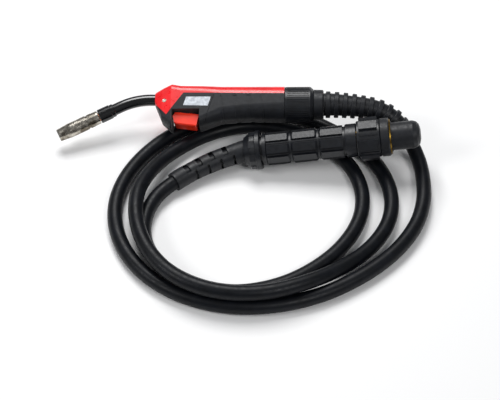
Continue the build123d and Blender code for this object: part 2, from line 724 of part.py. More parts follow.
with BuildPart() as rear_boot:
    for share in (0, 0.2, 0.4, 0.6, 0.8, 1):
        with BuildSketch(Plane(origin=boot_path @ share, z_dir=boot_path % share)):
            Circle(boot_radius(share) - BOOT_GROOVE)
    loft()
    for count in range(BOOT_RINGS):
        share = (count + 0.5) / BOOT_RINGS
        with BuildPart(Plane(origin=boot_path @ share, z_dir=boot_path % share), mode=Mode.PRIVATE) as rib:
            Cylinder(boot_radius(share), BOOT_RING_WIDTH)
            fillet(rib.edges(), 1.1)
        add(rib.part)
    with BuildSketch(Plane(origin=boot_path @ 0, z_dir=boot_path % 0)) as bore:
        Circle(LEAD_BORE)
    sweep(bore.sketch, path=boot_path, mode=Mode.SUBTRACT)
save(rear_boot, "rear_boot", REAR)

lead_depth = boot_front - lead_in_handle
lead_path = two_arc_path(lead_depth, BOOT_ARCS)
with BuildPart() as handle_lead:
    with BuildSketch(Plane(origin=lead_path @ 0, z_dir=lead_path % 0)):
        Circle(LEAD_RADIUS)
    sweep(path=lead_path)
save(handle_lead, "handle_lead", REAR)
for name, spot in (("handle lead ends at", lead_path @ 1), ("heading", lead_path % 1)):
    if name == "heading":
        ahead = REAR * Pos(lead_path @ 1 + 100 * spot)
        print(name, ahead.position - (REAR * Pos(lead_path @ 1)).position)
    else:
        print(name, (REAR * Pos(spot)).position)

save(gas_nozzle, "gas_nozzle", FRONT)
save(contact_tip, "contact_tip", FRONT)
save(gas_diffuser, "gas_diffuser", FRONT)
save(nozzle_spring, "nozzle_spring", FRONT)
save(spring_seat, "spring_seat", FRONT)
save(neck_insulator, "neck_insulator", FRONT)
save(neck_tube, "neck_tube", HANDLE)
save(neck_sleeve, "neck_sleeve", HANDLE)
save(wire_liner, "wire_liner", HANDLE)

# ================================================================ lead's boot at the connector
# its own frame: X runs from the connector back along the lead, and the boot bends down in Z
PLUG_BOOT = (
    CONNECTOR
    * Location((PLUG_BOOT_ROOT, 0, 0), (0, 0, 180))
    * Location((0, 0, 0), (PLUG_BOOT_SWING, 0, 0))
)
plug_boot_path = two_arc_path(0.01, PLUG_BOOT_ARCS)
plug_boot_length = plug_boot_path.length
collar_share = 1 - PLUG_COLLAR_LENGTH / plug_boot_length


def plug_boot_radius(share):
    """The slotted boot's outer radius, from its root (0) to its tip collar (1)."""
    if share < 0.2:
        return PLUG_BOOT_ROOT_RADIUS + (PLUG_BOOT_NECK_RADIUS - PLUG_BOOT_ROOT_RADIUS) * share / 0.2
    return PLUG_BOOT_NECK_RADIUS + (PLUG_BOOT_TIP_RADIUS - PLUG_BOOT_NECK_RADIUS) * (share - 0.2) / 0.8


def boot_plane(share):
    """The plane across the slotted boot's path, its Y axis square to the bend."""
    return Plane(origin=plug_boot_path @ share, x_dir=(0, 1, 0), z_dir=plug_boot_path % share)


with BuildPart() as plug_boot:
    for share in (0, 0.1, 0.2, 0.4, 0.6, 0.8, 1):
        with BuildSketch(boot_plane(share)):
            Circle(plug_boot_radius(share))
    loft()
    with Locations(Plane.YZ.offset(-3.2)):
        Cylinder(PLUG_BOOT_ROOT_RADIUS + 0.5, 3.2, align=(Align.CENTER, Align.CENTER, Align.MIN))
    for share in (collar_share, (1 + collar_share) / 2):
        with BuildSketch(boot_plane(share)):
            Circle(PLUG_COLLAR_RADIUS)
    with BuildSketch(boot_plane(1)):
        Circle(PLUG_COLLAR_RADIUS - 0.2)
    loft()
    # wide notches through the top and bottom, and narrower slots through the two sides between them
    for count in range(BOOT_NOTCHES):
        share = collar_share - (count + 0.2) * BOOT_NOTCH_SPACING
        with Locations(boot_plane(share)):
            Box(60, BOOT_NOTCH_ACROSS, BOOT_NOTCH_WIDTH, mode=Mode.SUBTRACT)
        with Locations(boot_plane(share - BOOT_NOTCH_SPACING / 2)):
            Box(BOOT_NOTCH_ACROSS, 60, BOOT_SLOT_WIDTH, mode=Mode.SUBTRACT)
    with BuildSketch(Plane(origin=(-10, 0, 0), x_dir=(0, 1, 0), z_dir=(1, 0, 0))) as bore:
        Circle(LEAD_BORE)
    sweep(bore.sketch, path=two_arc_path(10, PLUG_BOOT_ARCS), mode=Mode.SUBTRACT)
save(plug_boot, "plug_boot", PLUG_BOOT)

lead_in_barrel = 46.0
plug_lead_path = two_arc_path(lead_in_barrel - PLUG_BOOT_ROOT, PLUG_BOOT_ARCS)
with BuildPart() as plug_lead:
    with BuildSketch(Plane(origin=plug_lead_path @ 0, z_dir=plug_lead_path % 0)):
        Circle(LEAD_RADIUS)
    sweep(path=plug_lead_path)
save(plug_lead, "plug_lead", PLUG_BOOT)

# ================================================================ connector, connector frame
spigot_outer = 15.6
with BuildPart() as boot_nut:
    revolve(
        outline(
            (0, PLUG_BOOT_ROOT_RADIUS + SLIDING),
            (0, 16.0),
            (1.0, 17.0),
            (8.0, 21.2),
            (14.0, 21.6),
            (14.0, NUT_FLANGE_RADIUS - 0.8),
            (14.8, NUT_FLANGE_RADIUS),
            (NUT_LENGTH - 0.8, NUT_FLANGE_RADIUS),
            (NUT_LENGTH, NUT_FLANGE_RADIUS - 0.8),
            (NUT_LENGTH, spigot_outer + SEAT),
            (PLUG_BOOT_ROOT - SEAT, spigot_outer + SEAT),
            (PLUG_BOOT_ROOT - SEAT, PLUG_BOOT_ROOT_RADIUS + SLIDING),
        ),
        axis=Axis.X,
    )
    with Locations(Plane.YZ.offset(7)):
        with PolarLocations(20.2, 8, start_angle=22.5):
            Box(3.2, 8.5, 7.0, align=(Align.CENTER, Align.CENTER, Align.MIN))
save(boot_nut, "boot_nut", CONNECTOR)

with BuildPart() as barrel:
    revolve(
        outline(
            (PLUG_BOOT_ROOT + 3.4, LEAD_RADIUS + 1.6),
            (PLUG_BOOT_ROOT + 3.4, spigot_outer),
            (BARREL_START - 2, spigot_outer),
            (BARREL_START - 2, BARREL_RADIUS + 1.4),
            (BARREL_START + 2, BARREL_RADIUS + 1.4),
            (BARREL_START + 3, BARREL_RADIUS),
            (BARREL_END, BARREL_RADIUS),
            (BARREL_END, BARREL_BORE),
            (BARREL_START + 3, BARREL_BORE),
            (BARREL_START, LEAD_RADIUS + 1.6),
        ),
        axis=Axis.X,
    )
    bar_height = BARREL_BAR_TOP - BARREL_RADIUS + 0.6
    with Locations(Plane.YZ.offset(BARREL_START + 3)):
        with PolarLocations(BARREL_BAR_TOP - bar_height / 2, BARREL_BARS):
            Box(
                bar_height,
                BARREL_BAR_WIDTH,
                BARREL_END - BARREL_START - 6,
                align=(Align.CENTER, Align.CENTER, Align.MIN),
            )
        with PolarLocations(BARREL_RADIUS, BARREL_BARS, start_angle=180 / BARREL_BARS):
            Box(1.4, 1.0, BARREL_END - BARREL_START - 6, align=(Align.CENTER, Align.CENTER, Align.MIN))
    for middle in BARREL_RINGS:
        revolve(
            outline(
                (middle - 4.2, BARREL_BAR_TOP + 1),
                (middle - 1.2, BARREL_RADIUS),
                (middle + 1.2, BARREL_RADIUS),
                (middle + 4.2, BARREL_BAR_TOP + 1),
            ),
            axis=Axis.X,
            mode=Mode.SUBTRACT,
        )
        ring = ring_outline(middle - 0.7, middle + 0.7, BARREL_RADIUS - 0.5, BARREL_RADIUS + 0.7)
        revolve(ring, axis=Axis.X)
save(barrel, "barrel", CONNECTOR)

end_ring_end = BARREL_END + SEAT + END_RING_LENGTH
with BuildPart() as end_ring:
    revolve(
        outline(
            (BARREL_END + SEAT, EURO_RADIUS + SEAT),
            (BARREL_END + SEAT, END_RING_RADIUS - 0.6),
            (BARREL_END + SEAT + 0.6, END_RING_RADIUS),
            (end_ring_end - 0.6, END_RING_RADIUS),
            (end_ring_end, END_RING_RADIUS - 0.6),
            (end_ring_end, EURO_RADIUS + SEAT),
        ),
        axis=Axis.X,
    )
save(end_ring, "end_ring", CONNECTOR)

with BuildPart() as plug_conductor:
    revolve(ring_outline(lead_in_barrel + SEAT, EURO_START - SEAT, 0, CONDUCTOR_RADIUS), axis=Axis.X)
save(plug_conductor, "plug_conductor", CONNECTOR)

with BuildPart() as plug_ferrule:
    ferrule_start, ferrule_end = lead_in_barrel - 14, lead_in_barrel - 1
    ferrule = ring_outline(ferrule_start, ferrule_end, LEAD_RADIUS + SEAT, BARREL_BORE - SEAT)
    revolve(ferrule, axis=Axis.X)
save(plug_ferrule, "plug_ferrule", CONNECTOR)

nut_back = COUPLING_START + COUPLING_WALL
shoulder = nut_back + SLIDING
contact_back = shoulder + 9
with BuildPart() as euro_body:
    revolve(
        outline(
            (EURO_START, 0),
            (EURO_START, 8.0),
            (EURO_START + 30, 8.0),
            (EURO_START + 30, EURO_RADIUS),
            (shoulder, EURO_RADIUS),
            (shoulder, EURO_RADIUS + 1.1),
            (shoulder + 4, EURO_RADIUS + 1.1),
            (shoulder + 4, EURO_RADIUS - 0.5),
            (EURO_FACE - 1, EURO_RADIUS - 0.5),
            (EURO_FACE, EURO_RADIUS - 1.5),
            (EURO_FACE, 0),
        ),
        axis=Axis.X,
    )
    with Locations(Plane.YZ.offset(EURO_START - 1)):
        Cylinder(1.6, 200, align=(Align.CENTER, Align.CENTER, Align.MIN), mode=Mode.SUBTRACT)
    with Locations(Plane.YZ.offset(EURO_FACE - 16)):
        Cylinder(
            GAS_PIN_RADIUS - 1 + SEAT, 20,
            align=(Align.CENTER, Align.CENTER, Align.MIN), mode=Mode.SUBTRACT,
        )
    with Locations(Plane.YZ.offset(contact_back)):
        with PolarLocations(CONTACT_PIN_OFFSET, 2):
            Cylinder(
                CONTACT_PIN_RADIUS + RUNNING,
                60,
                align=(Align.CENTER, Align.CENTER, Align.MIN),
                mode=Mode.SUBTRACT,
            )
save(euro_body, "euro_body", CONNECTOR)

with BuildPart() as gas_pin:
    revolve(
        outline(
            (EURO_FACE - 15, 1.4),
            (EURO_FACE - 15, GAS_PIN_RADIUS - 1),
            (EURO_FACE + SEAT, GAS_PIN_RADIUS - 1),
            (EURO_FACE + SEAT, GAS_PIN_RADIUS),
            (EURO_FACE + 8, GAS_PIN_RADIUS),
            (EURO_FACE + 8, GAS_PIN_RADIUS - 1),
            (EURO_FACE + 10, GAS_PIN_RADIUS - 1),
            (EURO_FACE + 10, GAS_PIN_RADIUS),
            (GAS_PIN_END - 1.5, GAS_PIN_RADIUS),
            (GAS_PIN_END, GAS_PIN_RADIUS - 1.2),
            (GAS_PIN_END, 1.4),
        ),
        axis=Axis.X,
    )
save(gas_pin, "gas_pin", CONNECTOR)

with BuildPart() as pin_seal:
    with BuildSketch():
        with Locations((EURO_FACE + 9, GAS_PIN_RADIUS - 0.05)):
            Circle(0.9)
    revolve(axis=Axis.X)
save(pin_seal, "pin_seal", CONNECTOR)

with BuildPart() as liner_nut:
    with BuildSketch(Plane.YZ.offset(GAS_PIN_END + SEAT)):
        RegularPolygon(4.6, 6)
        Circle(1.4, mode=Mode.SUBTRACT)
    extrude(amount=5)
save(liner_nut, "liner_nut", CONNECTOR)

for name, side in (("upper", 1), ("lower", -1)):
    with BuildPart() as contact:
        revolve(
            outline(
                (contact_back + 10, 0),
                (contact_back + 10, CONTACT_PIN_RADIUS),
                (CONTACT_PIN_END - 1.5, CONTACT_PIN_RADIUS),
                (CONTACT_PIN_END, CONTACT_PIN_RADIUS - 1),
                (CONTACT_PIN_END, 0),
            ),
            axis=Axis.X,
        )
    save(contact, f"contact_pin_{name}", CONNECTOR * Location((0, side * CONTACT_PIN_OFFSET, 0)))

for name, side in (("upper", 1), ("lower", -1)):
    with BuildPart() as contact_spring:
        add(coil_spring(contact_back + 0.5, 1.6, 8.8, 1.45, 0.35))
    save(contact_spring, f"contact_spring_{name}", CONNECTOR * Location((0, side * CONTACT_PIN_OFFSET, 0)))

with BuildPart() as coupling_nut:
    end = COUPLING_START + COUPLING_LENGTH
    revolve(
        outline(
            (COUPLING_START, EURO_RADIUS + RUNNING),
            (COUPLING_START, COUPLING_BASE - 0.8),
            (COUPLING_START + 0.8, COUPLING_BASE),
            (end - 0.8, COUPLING_BASE),
            (end, COUPLING_BASE - 0.8),
            (end, COUPLING_BORE),
            (nut_back, COUPLING_BORE),
            (nut_back, EURO_RADIUS + RUNNING),
        ),
        axis=Axis.X,
    )
    with Locations(Plane.YZ.offset(COUPLING_START + 3)):
        with PolarLocations(COUPLING_TOP - 2.0, COUPLING_BARS, start_angle=30):
            Box(
                4.0,
                COUPLING_BAR_WIDTH,
                COUPLING_LENGTH - 6,
                align=(Align.CENTER, Align.CENTER, Align.MIN),
            )
        with PolarLocations(COUPLING_BASE, COUPLING_BARS):
            Box(1.6, 1.4, COUPLING_LENGTH - 6, align=(Align.CENTER, Align.CENTER, Align.MIN))
save(coupling_nut, "coupling_nut", CONNECTOR)

plug_start = CAP_START - CAP_PLUG
flange_end = CAP_START + CAP_FLANGE_LENGTH
with BuildPart() as protective_cap:
    revolve(
        outline(
            (plug_start, CAP_BORE),
            (plug_start, COUPLING_BORE - SLIDING - 0.2),
            (CAP_START, COUPLING_BORE - SLIDING - 0.2),
            (CAP_START, CAP_FLANGE_RADIUS - 0.5),
            (CAP_START + 0.5, CAP_FLANGE_RADIUS),
            (flange_end - 1.5, CAP_FLANGE_RADIUS),
            (flange_end, CAP_FLANGE_RADIUS - 1.5),
            (flange_end, CAP_RADIUS + 1.2),
            (flange_end + 2.6, CAP_RADIUS + 1.2),
            (flange_end + 2.6, CAP_RADIUS),
            (CAP_END - 9, CAP_RADIUS),
            (CAP_END - 4.5, CAP_RADIUS - 1.6),
            (CAP_END - 1.5, CAP_RADIUS - 5),
            (CAP_END, CAP_RADIUS - 10.5),
            (CAP_END, 0),
            (CAP_END - 4, 0),
            (CAP_END - 9, CAP_BORE - 2),
            (EURO_FACE + 4, CAP_BORE),
        ),
        axis=Axis.X,
    )
save(protective_cap, "protective_cap", CONNECTOR)

with BuildPart() as cap_band:
    revolve(
        outline(
            (flange_end + SEAT, CAP_RADIUS + 1.2 + SEAT),
            (flange_end + SEAT, CAP_FLANGE_RADIUS - 1.4),
            (flange_end + 1.4, CAP_FLANGE_RADIUS - 1.9),
            (flange_end + 1.4, CAP_RADIUS + 1.2 + SEAT),
        ),
        axis=Axis.X,
    )
save(cap_band, "cap_band", CONNECTOR)
for name, spot in (("plug lead ends at", plug_lead_path @ 1), ("heading", plug_lead_path % 1)):
    if name == "heading":
        ahead = PLUG_BOOT * Pos(plug_lead_path @ 1 + 100 * spot)
        print(name, ahead.position - (PLUG_BOOT * Pos(plug_lead_path @ 1)).position)
    else:
        print(name, (PLUG_BOOT * Pos(spot)).position)

# ================================================================ lead
# Its route over the floor, from the handle's boot to the connector's boot: round the outside of the
# coil, under the handle, round again on top of itself at the front, and once more on the inside.
LEAD_ROUTE = [
    # out of the handle's boot, down to the floor
    (203.9, -26.9, 32.4), (210.8, -33.3, 24.7), (218.2, -45.2, 17.5), (223.4, -59.3, 12.3),
    (226.1, -74.8, 9.8), (227, -94.5, 8.9),
    # the outer turn
    (225, -122.5, LEAD_RADIUS), (214, -157.5, LEAD_RADIUS), (189, -194.5, LEAD_RADIUS),
    (152, -227.5, LEAD_RADIUS), (105, -255.5, LEAD_RADIUS), (50, -271.5, LEAD_RADIUS),
    (-6, -272.5, LEAD_RADIUS), (-60, -255.5, LEAD_RADIUS), (-104, -221.5, LEAD_RADIUS),
    (-131, -173.5, LEAD_RADIUS), (-137, -120.5, LEAD_RADIUS), (-120, -68.5, LEAD_RADIUS),
    (-82, -20.5, LEAD_RADIUS), (-27, 14.5, LEAD_RADIUS), (33, 27.5, LEAD_RADIUS),
    # the middle turn, which climbs on the other two and comes down again
    (90, 12.5, LEAD_RADIUS), (137, -18.5, LEAD_RADIUS), (173, -58.5, LEAD_RADIUS),
    (189, -105.5, LEAD_RADIUS), (184.5, -151.5, LEAD_RADIUS), (159, -192.5, 9.5), (123.5, -224.5, 15.5),
    (85.5, -250, 24), (38, -266.5, 26), (-14, -265.5, 26.3), (-60, -246.5, 26.8), (-91.5, -211.5, 27),
    (-108, -168.5, 27), (-110, -124.5, 27), (-98, -86.5, 20), (-76, -49.5, 11), (-36, -16.5, LEAD_RADIUS),
    # the inner turn, which dives under the middle one to reach the connector's boot
    (12, 1, LEAD_RADIUS), (60, -3.5, LEAD_RADIUS), (104, -23.5, LEAD_RADIUS), (136, -54.5, LEAD_RADIUS),
    (153, -92.5, LEAD_RADIUS), (154, -133.5, LEAD_RADIUS), (139, -172.5, LEAD_RADIUS),
    (110, -208.5, LEAD_RADIUS), (66, -239.5, LEAD_RADIUS), (18, -253, LEAD_RADIUS),
    (-17, -250.3, LEAD_RADIUS), (-50, -237.5, LEAD_RADIUS), (-77, -217, LEAD_RADIUS),
    (-94.5, -192.5, LEAD_RADIUS), (-101, -164.5, LEAD_RADIUS), (-98.2, -139.2, 8.95),
    (-90.3, -119.3, 9.8), (-79.2, -104.45, 11.15), (-67.375, -94.327, 12.024),
]
LEAD_SPLITS = (20, 38)
ARC_SHARE = 0.45

route = [Vector(*spot) for spot in LEAD_ROUTE]
runs = [route[i + 1] - route[i] for i in range(len(route) - 1)]
bend_radii = []
for before, after in zip(runs, runs[1:]):
    half_turn = radians(before.get_angle(after)) / 2
    bend_radii.append(ARC_SHARE * min(before.length, after.length) / tan(half_turn))
print("lead bend radii", [round(radius) for radius in bend_radii])

# three lengths, cut square across the middle of a run, where the tube is straight
cuts = (0, *LEAD_SPLITS, len(route) - 1)
lead_length = 0
for count, (first, last) in enumerate(zip(cuts, cuts[1:]), start=1):
    start = route[0] if first == 0 else (route[first] + route[first + 1]) / 2
    stop = route[-1] if last == len(route) - 1 else (route[last] + route[last + 1]) / 2
    inner = range(first + 1, last + 1 if stop != route[-1] else last)
    with BuildPart() as lead:
        with BuildLine() as line:
            FilletPolyline(
                start, *[route[i] for i in inner], stop, radius=[bend_radii[i - 1] for i in inner]
            )
        with BuildSketch(Plane(origin=start, z_dir=line.line % 0)):
            Circle(LEAD_RADIUS)
        path = line.wire()
        sweep(path=path)
    section = 3.14159265 * LEAD_RADIUS**2
    print(f"lead_{count}", round(lead.part.volume), "section x length", round(section * path.length))
    lead_length += path.length
    save(lead, f"lead_{count}", Location((0, 0, 0)))
print("lead length", round(lead_length))
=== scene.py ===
# %% [markdown]
# A gas-cooled MIG welding torch: a bent neck with a nickel-plated nozzle, a red and black handle,
# and a rubber-covered lead that lies in a loose coil and ends in a capped machine connector.
# The hard parts arrive as ready meshes from the engineering model. This lesson loads them, lays the
# lead as one smooth curve, and then gives every finish its own material, made from what it is.

# %% load the frame
import json
from math import cos, pi, radians, sin

import bmesh
import bpy
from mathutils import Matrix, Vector


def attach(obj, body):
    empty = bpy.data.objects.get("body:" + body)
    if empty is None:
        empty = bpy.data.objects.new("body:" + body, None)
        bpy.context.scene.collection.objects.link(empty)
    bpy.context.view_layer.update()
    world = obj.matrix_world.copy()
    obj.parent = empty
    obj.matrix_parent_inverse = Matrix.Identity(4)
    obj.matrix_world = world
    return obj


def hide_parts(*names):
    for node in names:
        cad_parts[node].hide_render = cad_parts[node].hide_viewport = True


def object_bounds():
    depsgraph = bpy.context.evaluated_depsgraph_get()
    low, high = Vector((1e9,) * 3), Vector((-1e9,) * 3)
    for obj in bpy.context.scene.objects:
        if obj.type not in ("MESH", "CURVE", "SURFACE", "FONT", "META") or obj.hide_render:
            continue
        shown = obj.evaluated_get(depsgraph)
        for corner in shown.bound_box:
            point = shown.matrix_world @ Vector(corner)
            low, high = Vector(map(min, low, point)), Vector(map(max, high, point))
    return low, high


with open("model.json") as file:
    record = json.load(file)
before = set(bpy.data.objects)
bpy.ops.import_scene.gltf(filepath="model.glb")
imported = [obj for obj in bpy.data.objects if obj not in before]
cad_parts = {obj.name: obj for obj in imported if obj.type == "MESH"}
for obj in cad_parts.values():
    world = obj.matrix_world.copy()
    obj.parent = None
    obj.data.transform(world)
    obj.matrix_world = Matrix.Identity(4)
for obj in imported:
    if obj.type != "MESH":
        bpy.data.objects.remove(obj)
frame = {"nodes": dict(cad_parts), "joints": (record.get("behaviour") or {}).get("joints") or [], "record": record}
cad_box = [list(corner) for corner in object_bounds()]
nodes = frame["nodes"]
FLOOR_Z = cad_box[0][2]
print("pieces in the frame", len(nodes), "floor at", round(FLOOR_Z, 4))

# %% [markdown]
# The camera comes first, because everything is judged through it. It looks down at the floor from
# fifty degrees with a long lens, as for a catalogue picture, so that the coil reads as an oval.
# The view's middle lies on the floor inside the coil.

# %% camera
VIEW_MIDDLE = Vector((0.0219, -0.1077, FLOOR_Z))
VIEW_ELEVATION = radians(50)
VIEW_DISTANCE = 1.634
LENS_MM = 100
SENSOR_MM = 36
FAR_CLIP = 20

camera_data = bpy.data.cameras.new("camera")
camera_data.lens = LENS_MM
camera_data.sensor_width = SENSOR_MM
camera_data.clip_end = FAR_CLIP
camera = bpy.data.objects.new("camera", camera_data)
bpy.context.collection.objects.link(camera)
to_camera = Vector((0, -cos(VIEW_ELEVATION), sin(VIEW_ELEVATION)))
camera.location = VIEW_MIDDLE + VIEW_DISTANCE * to_camera
camera.rotation_euler = (radians(90) - VIEW_ELEVATION, 0, 0)
bpy.context.scene.camera = camera
print("camera at", [round(x, 3) for x in camera.location])

# %% [markdown]
# The lead is a copper conductor, a gas hose and control wires in one rubber jacket, 17.5 mm thick.
# A mesh tube would show its joints, and a chain of arcs looks like bent wire. A NURBS curve with
# few points bends as rubber does, evenly and without corners, so its points are listed one by one:
# out of the handle, round the coil two and a half times, and into the connector's boot.

# %% the lead
LEAD_DIAMETER = 0.0175
LEAD_ROUTE = [
    (0.2038, -0.0231, -0.0099), (0.2107, -0.0295, -0.0176), (0.2181, -0.0414, -0.0248),
    (0.2233, -0.0555, -0.0300), (0.2260, -0.0710, -0.0325), (0.2269, -0.0907, -0.0334),
    (0.2249, -0.1187, -0.0335), (0.2139, -0.1537, -0.0335), (0.1889, -0.1907, -0.0335),
    (0.1519, -0.2237, -0.0335), (0.1049, -0.2517, -0.0335), (0.0499, -0.2677, -0.0335),
    (-0.0061, -0.2687, -0.0335), (-0.0601, -0.2517, -0.0335), (-0.1041, -0.2177, -0.0335),
    (-0.1311, -0.1697, -0.0335), (-0.1371, -0.1167, -0.0335), (-0.1201, -0.0647, -0.0335),
    (-0.0821, -0.0167, -0.0335), (-0.0271, 0.0183, -0.0335), (0.0329, 0.0313, -0.0335),
    (0.0899, 0.0163, -0.0335), (0.1369, -0.0147, -0.0335), (0.1729, -0.0547, -0.0335),
    (0.1889, -0.1017, -0.0335), (0.1844, -0.1477, -0.0335), (0.1589, -0.1887, -0.0328),
    (0.1234, -0.2207, -0.0268), (0.0854, -0.2462, -0.0183), (0.0379, -0.2627, -0.0163),
    (-0.0141, -0.2617, -0.0160), (-0.0601, -0.2427, -0.0155), (-0.0916, -0.2077, -0.0153),
    (-0.1081, -0.1647, -0.0153), (-0.1101, -0.1207, -0.0153), (-0.0981, -0.0827, -0.0223),
    (-0.0761, -0.0457, -0.0313), (-0.0361, -0.0127, -0.0335), (0.0119, 0.0048, -0.0335),
    (0.0599, 0.0003, -0.0335), (0.1039, -0.0197, -0.0335), (0.1359, -0.0507, -0.0335),
    (0.1529, -0.0887, -0.0335), (0.1539, -0.1297, -0.0335), (0.1389, -0.1687, -0.0335),
    (0.1099, -0.2047, -0.0335), (0.0659, -0.2357, -0.0335), (0.0179, -0.2492, -0.0335),
    (-0.0171, -0.2465, -0.0335), (-0.0501, -0.2337, -0.0335), (-0.0771, -0.2132, -0.0335),
    (-0.0946, -0.1887, -0.0335), (-0.1011, -0.1607, -0.0335), (-0.0983, -0.1354, -0.0333),
    (-0.0904, -0.1155, -0.0325), (-0.0793, -0.1007, -0.0311), (-0.0675, -0.0905, -0.0303),
]

lead_curve = bpy.data.curves.new("rubber_lead", "CURVE")
lead_curve.dimensions = "3D"
lead_curve.resolution_u = 12
lead_curve.bevel_depth = LEAD_DIAMETER / 2
lead_curve.bevel_resolution = 10
lead_curve.use_fill_caps = True
lead_line = lead_curve.splines.new("NURBS")
lead_line.points.add(len(LEAD_ROUTE) - 1)
for point, spot in zip(lead_line.points, LEAD_ROUTE):
    point.co = (*spot, 1)
lead_line.order_u = 3
lead_line.use_endpoint_u = True
rubber_lead = bpy.data.objects.new("rubber_lead", lead_curve)
bpy.context.collection.objects.link(rubber_lead)
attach(rubber_lead, "torch")
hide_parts("lead_1", "lead_2", "lead_3")

# %% [markdown]
# Every finish starts the same way: a Principled shader, and coordinates that stick to the piece.
# Object coordinates are in metres here, so a pattern's scale is one over its real grain size.
# Colours are written as the sRGB values a maker's chart gives, and one function turns them to the
# linear light that the shader needs.

# %% helpers for finishes
MM = 0.001


def paint(code):
    """A linear colour from an sRGB hex code."""
    channels = [int(code[i:i + 2], 16) / 255 for i in (0, 2, 4)]
    return (*[c / 12.92 if c <= 0.04045 else ((c + 0.055) / 1.055) ** 2.4 for c in channels], 1)


def add_node(tree, kind, values=None, links=None, **settings):
    """One shader node with its settings, its constant inputs and its links."""
    node = tree.nodes.new(kind)
    for name, value in settings.items():
        setattr(node, name, value)
    for name, value in (values or {}).items():
        node.inputs[name].default_value = value
    for name, (source, output) in (links or {}).items():
        tree.links.new(source.outputs[output], node.inputs[name])
    return node


def start_finish(name, roughness, metallic=0.0, specular=0.5):
    """A new material with its shader and the coordinates its patterns are read at."""
    material = bpy.data.materials.new(name)
    material.use_nodes = True
    tree = material.node_tree
    shader = tree.nodes["Principled BSDF"]
    shader.inputs["Roughness"].default_value = roughness
    shader.inputs["Metallic"].default_value = metallic
    shader.inputs["Specular IOR Level"].default_value = specular
    return material, tree, shader, add_node(tree, "ShaderNodeTexCoord")


def mottle(tree, place, size, dark, light, low=0.35, high=0.65, detail=4.0):
    """A soft change between two colours or greys, with patches of that size in metres."""
    patches = add_node(
        tree, "ShaderNodeTexNoise",
        {"Scale": 1 / size, "Detail": detail, "Roughness": 0.55}, {"Vector": (place, "Object")},
    )
    ramp = add_node(tree, "ShaderNodeValToRGB", links={"Fac": (patches, "Fac")})
    ramp.color_ramp.elements[0].position = low
    ramp.color_ramp.elements[0].color = dark
    ramp.color_ramp.elements[1].position = high
    ramp.color_ramp.elements[1].color = light
    return ramp


def grain(tree, place, shader, size, depth, strength=1.0):
    """A fine relief of that grain size and depth, in metres."""
    bumps = add_node(
        tree, "ShaderNodeTexNoise", {"Scale": 1 / size, "Detail": 3.0}, {"Vector": (place, "Object")}
    )
    relief = add_node(
        tree, "ShaderNodeBump", {"Strength": strength, "Distance": depth}, {"Height": (bumps, "Fac")}
    )
    tree.links.new(relief.outputs["Normal"], shader.inputs["Normal"])


def grey(level):
    """A grey with that value in each channel."""
    return (level, level, level, 1)


# %% [markdown]
# The spine and cheeks are injection-moulded ABS in signal red. The mould is lightly spark-eroded, so
# the plastic is glossy at a glance but its highlight has soft edges. A fine noise relief gives that,
# and a broad, faint mottle keeps the colour from looking like a flat fill.

# %% red plastics
red_abs, tree, shader, place = start_finish("red_abs_spark_eroded", 0.3)
colour = mottle(tree, place, 30 * MM, paint("D80F16"), paint("EC1B21"))
tree.links.new(colour.outputs["Color"], shader.inputs["Base Color"])
gloss = mottle(tree, place, 6 * MM, grey(0.26), grey(0.38))
tree.links.new(gloss.outputs["Color"], shader.inputs["Roughness"])
shader.inputs["Coat Weight"].default_value = 0.25
shader.inputs["Coat Roughness"].default_value = 0.15
grain(tree, place, shader, 0.7 * MM, 0.04 * MM, 0.5)

trigger_abs, tree, shader, place = start_finish("orange_red_trigger_abs", 0.28)
colour = mottle(tree, place, 12 * MM, paint("F62A10"), paint("FF3A1C"))
tree.links.new(colour.outputs["Color"], shader.inputs["Base Color"])
shader.inputs["Coat Weight"].default_value = 0.3
shader.inputs["Coat Roughness"].default_value = 0.12
grain(tree, place, shader, 0.9 * MM, 0.03 * MM, 0.4)
print("red finishes", red_abs.name, trigger_abs.name)

# %% [markdown]
# There are four blacks on the torch. The grip and boots are a soft rubber with a dry, slightly dusty
# sheen, the lead's jacket is smoother extruded rubber, the connector is glass-filled nylon with a
# satin skin, and the neck's sleeve and insulator are a hard glossy phenolic. Only their roughness,
# sheen and grain tell them apart, so each gets its own.

# %% black finishes
grip_rubber, tree, shader, place = start_finish("soft_touch_black_rubber", 0.5, specular=0.35)
colour = mottle(tree, place, 9 * MM, paint("0B0D12"), paint("13161C"))
tree.links.new(colour.outputs["Color"], shader.inputs["Base Color"])
gloss = mottle(tree, place, 3 * MM, grey(0.40), grey(0.56))
tree.links.new(gloss.outputs["Color"], shader.inputs["Roughness"])
shader.inputs["Sheen Weight"].default_value = 0.12
shader.inputs["Sheen Roughness"].default_value = 0.4
grain(tree, place, shader, 0.8 * MM, 0.05 * MM, 0.6)

jacket_rubber, tree, shader, place = start_finish("extruded_rubber_jacket", 0.38, specular=0.2)
colour = mottle(tree, place, 14 * MM, paint("06080C"), paint("0D1016"))
tree.links.new(colour.outputs["Color"], shader.inputs["Base Color"])
gloss = mottle(tree, place, 5 * MM, grey(0.36), grey(0.5))
tree.links.new(gloss.outputs["Color"], shader.inputs["Roughness"])
grain(tree, place, shader, 1.2 * MM, 0.05 * MM, 0.4)

satin_nylon, tree, shader, place = start_finish("glass_filled_black_nylon", 0.4, specular=0.4)
colour = mottle(tree, place, 7 * MM, paint("0B0D12"), paint("14171D"))
tree.links.new(colour.outputs["Color"], shader.inputs["Base Color"])
gloss = mottle(tree, place, 2.5 * MM, grey(0.32), grey(0.46))
tree.links.new(gloss.outputs["Color"], shader.inputs["Roughness"])
shader.inputs["Coat Weight"].default_value = 0.15
shader.inputs["Coat Roughness"].default_value = 0.3
grain(tree, place, shader, 0.6 * MM, 0.04 * MM, 0.5)

